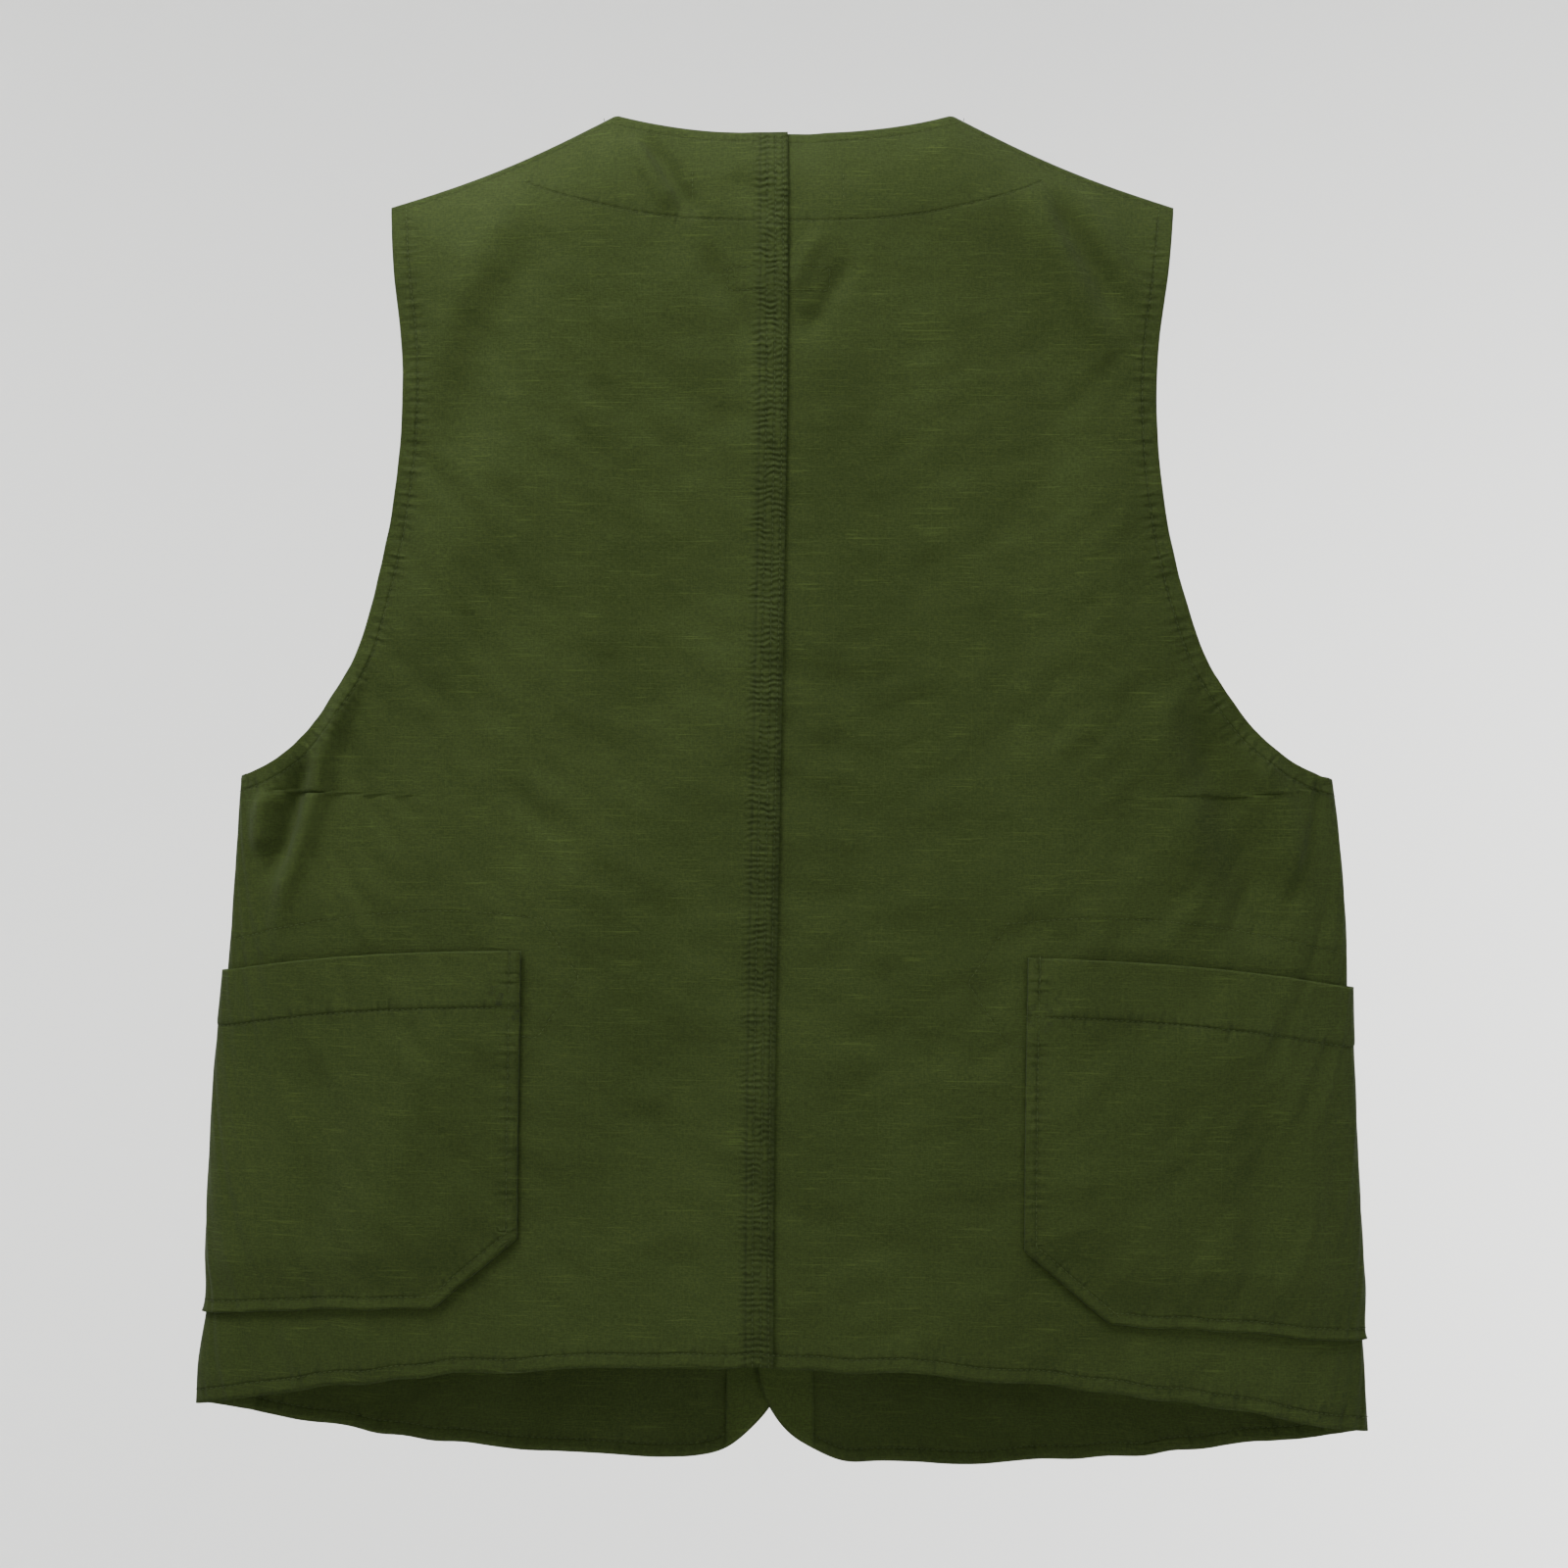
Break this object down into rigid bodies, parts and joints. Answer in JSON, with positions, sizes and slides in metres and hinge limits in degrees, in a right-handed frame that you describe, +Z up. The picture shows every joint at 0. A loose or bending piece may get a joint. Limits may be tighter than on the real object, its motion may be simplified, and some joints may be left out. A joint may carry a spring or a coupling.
{
  "type": "fishing vest",
  "caption": "Sleeveless cloth vest hanging at rest: lapped button front that folds open, wrap-round lower pockets, chest pockets with lifting flaps.",
  "frame": {"origin": "the hanger seat: on the centre plane, just under the cloth at the height of the two neck points, where a hanger's arms hold the shoulders", "axes": "+Z up as it hangs, -Y out of the wearer's front, +X to the wearer's left"},
  "size_m": [0.6072, 0.0722, 0.7054],
  "materials": {
    "ripstop_cloth": "matt olive ripstop cotton",
    "lining_cloth": "matt olive cotton",
    "label_cloth": "plain woven tape",
    "button": "polished dark horn-look resin",
    "sewing_thread": "spun polyester"
  },
  "bodies": {
    "vest_body": {"back_left_panel": "ripstop_cloth", "back_neck_facing": "lining_cloth", "back_right_panel": "ripstop_cloth", "left_armhole_facing": "lining_cloth", "left_chest_pocket": "ripstop_cloth", "left_flap_button": "button", "left_flap_button_thread": "sewing_thread", "left_front_side": "ripstop_cloth", "left_lower_pocket": "ripstop_cloth", "left_waist_band": "lining_cloth", "neck_label": "label_cloth", "right_armhole_facing": "lining_cloth", "right_chest_pocket": "ripstop_cloth", "right_flap_button": "button", "right_flap_button_thread": "sewing_thread", "right_front_side": "ripstop_cloth", "right_lower_pocket": "ripstop_cloth", "right_waist_band": "lining_cloth", "size_label": "label_cloth"},
    "left_front": {"left_front_facing": "lining_cloth", "left_front_opening": "ripstop_cloth"},
    "right_front": {"front_button_1": "button", "front_button_2": "button", "front_button_3": "button", "front_button_4": "button", "front_button_thread_1": "sewing_thread", "front_button_thread_2": "sewing_thread", "front_button_thread_3": "sewing_thread", "front_button_thread_4": "sewing_thread", "right_front_facing": "lining_cloth", "right_front_opening": "ripstop_cloth"},
    "left_flap": {"left_chest_flap": "ripstop_cloth"},
    "right_flap": {"right_chest_flap": "ripstop_cloth"}
  },
  "joints": [
    {"name": "left_front_open", "type": "hinge", "parent": "vest_body", "child": "left_front", "pos_m": [0.117, -0.03193, -0.70019], "axis": [-0.0812, 0.0138, 0.9966], "range_deg": [0, 100]},
    {"name": "right_front_open", "type": "hinge", "parent": "vest_body", "child": "right_front", "pos_m": [-0.117, -0.03193, -0.70019], "axis": [-0.0812, -0.0138, -0.9966], "range_deg": [0, 60]},
    {"name": "left_flap_lift", "type": "hinge", "parent": "vest_body", "child": "left_flap", "pos_m": [0.16215, -0.0244, -0.282], "axis": [-0.9975, -0.07, 0], "range_deg": [0, 130]},
    {"name": "right_flap_lift", "type": "hinge", "parent": "vest_body", "child": "right_flap", "pos_m": [-0.16215, -0.0244, -0.282], "axis": [-0.9975, 0.07, 0], "range_deg": [0, 130]}
  ],
  "couplings": [
    {"joint": "right_front_open", "follows": "left_front_open", "ratio": 0.5}
  ]
}
